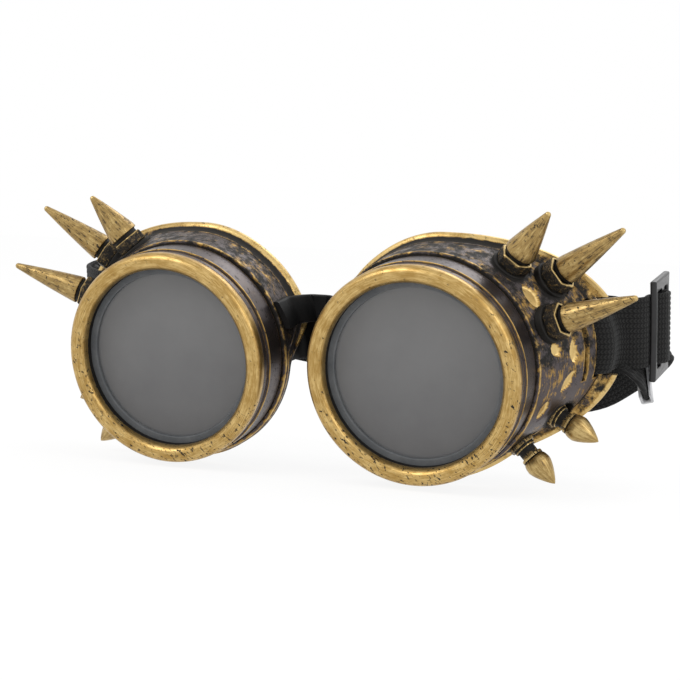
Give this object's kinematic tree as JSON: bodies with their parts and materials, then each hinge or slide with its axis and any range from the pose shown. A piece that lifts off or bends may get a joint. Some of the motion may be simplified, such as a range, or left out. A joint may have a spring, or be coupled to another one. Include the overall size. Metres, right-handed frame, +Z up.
{
  "type": "steampunk goggles",
  "caption": "Round-lens goggles with screw-off lens caps, flared eyecups carrying conical and bullet spikes, a soft nose strip and an adjustable elastic head strap",
  "frame": {"origin": "middle of the bounding box in plan, on the surface the goggles rest on", "axes": "+Z up, +X to the right of someone who looks at the lenses, +Y from the lenses to the back of the head; the lens axes dip 10 degrees to the front"},
  "size_m": [0.178, 0.0737, 0.0707],
  "materials": {
    "aged_brass": "antique brass plating on hard plastic, worn with black specks and scratches",
    "aged_brass_dark": "dark gunmetal plating on hard plastic, dry-brushed with brass",
    "grey_lens": "neutral grey tint, polished",
    "grey_gasket": "matte grey",
    "steel_nut": "plain hexagon nuts",
    "black_soft_plastic": "smooth satin black",
    "black_elastic": "ribbed woven elastic",
    "black_gloss": "glossy black",
    "pale_metal": "pale grey, satin"
  },
  "bodies": {
    "frame": {"cup_right": "aged_brass_dark", "cup_left": "aged_brass_dark", "spike_short_right": "aged_brass", "spike_upper_right": "aged_brass", "spike_lower_right": "aged_brass", "bullet_rear_right": "aged_brass", "bullet_front_right": "aged_brass", "spike_short_left": "aged_brass", "spike_upper_left": "aged_brass", "spike_lower_left": "aged_brass", "bullet_rear_left": "aged_brass", "bullet_front_left": "aged_brass", "spike_nuts_right": "steel_nut", "spike_nuts_left": "steel_nut", "nose_strip": "black_soft_plastic", "head_strap": "black_elastic", "strap_end_clip": "pale_metal"},
    "lens_pack_right": {"lens_right": "grey_lens", "lens_gasket_right": "grey_gasket"},
    "cap_right": {"screw_cap_right": "aged_brass"},
    "lens_pack_left": {"lens_left": "grey_lens", "lens_gasket_left": "grey_gasket"},
    "cap_left": {"screw_cap_left": "aged_brass"},
    "slider": {"strap_slider": "black_gloss"}
  },
  "joints": [
    {"name": "lens_pack_right_travel", "type": "slide", "parent": "frame", "child": "lens_pack_right", "axis": [0, -0.9848, -0.1739], "range_m": [0, 0.0075]},
    {"name": "screw_cap_right_turn", "type": "hinge", "parent": "lens_pack_right", "child": "cap_right", "pos_m": [0.035, -0.03, 0.0282], "axis": [0, -0.9848, -0.1739], "range_deg": [0, 1080]},
    {"name": "lens_pack_left_travel", "type": "slide", "parent": "frame", "child": "lens_pack_left", "axis": [0, -0.9848, -0.1739], "range_m": [0, 0.0075]},
    {"name": "screw_cap_left_turn", "type": "hinge", "parent": "lens_pack_left", "child": "cap_left", "pos_m": [-0.035, -0.03, 0.0282], "axis": [0, -0.9848, -0.1739], "range_deg": [0, 1080]},
    {"name": "strap_slider_travel", "type": "slide", "parent": "frame", "child": "slider", "axis": [0, 0.9848, 0.1739], "range_m": [-0.004, 0.004], "deforming": ["head_strap"]}
  ],
  "couplings": [
    {"joint": "lens_pack_right_travel", "follows": "screw_cap_right_turn", "m_per_rad": 0.00039789},
    {"joint": "lens_pack_left_travel", "follows": "screw_cap_left_turn", "m_per_rad": 0.00039789}
  ]
}
